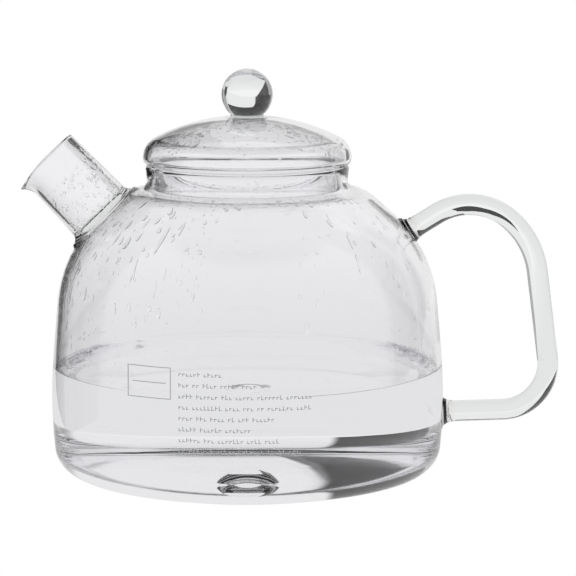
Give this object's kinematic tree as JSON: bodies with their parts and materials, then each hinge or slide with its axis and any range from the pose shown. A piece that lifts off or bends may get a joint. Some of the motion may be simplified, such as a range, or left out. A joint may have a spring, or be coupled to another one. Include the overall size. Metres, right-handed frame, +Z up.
{
  "type": "glass teapot",
  "caption": "Clear blown-glass stove-top teapot with an angled tube spout, a bent glass rod handle and a lift-off domed lid with a ball knob.",
  "frame": {"origin": "middle of the foot, on the surface that the teapot stands on", "axes": "+Z up along the vessel's axis, +X towards the handle, -X towards the spout, -Y the printed front"},
  "size_m": [0.2193, 0.16, 0.1672],
  "materials": {
    "clear_glass": "blown, fire-polished borosilicate",
    "solid_glass": "drawn rod and ball, fire-polished",
    "fused_glass": "flame-fused, softly rounded",
    "print_enamel": "thin fired ceramic print, matt grey"
  },
  "bodies": {
    "pot": {"vessel_body": "clear_glass", "base_nub": "solid_glass", "spout": "clear_glass", "spout_weld": "fused_glass", "handle_rod": "solid_glass", "handle_upper_weld": "fused_glass", "handle_lower_weld": "fused_glass", "fill_mark": "print_enamel"},
    "lid": {"lid_dome": "clear_glass", "lid_collar": "clear_glass", "lid_knob": "solid_glass", "knob_weld": "fused_glass"}
  },
  "joints": [
    {"name": "lid_lift", "type": "slide", "parent": "pot", "child": "lid", "axis": [0, 0, 1], "range_m": [0, 0.06]}
  ]
}
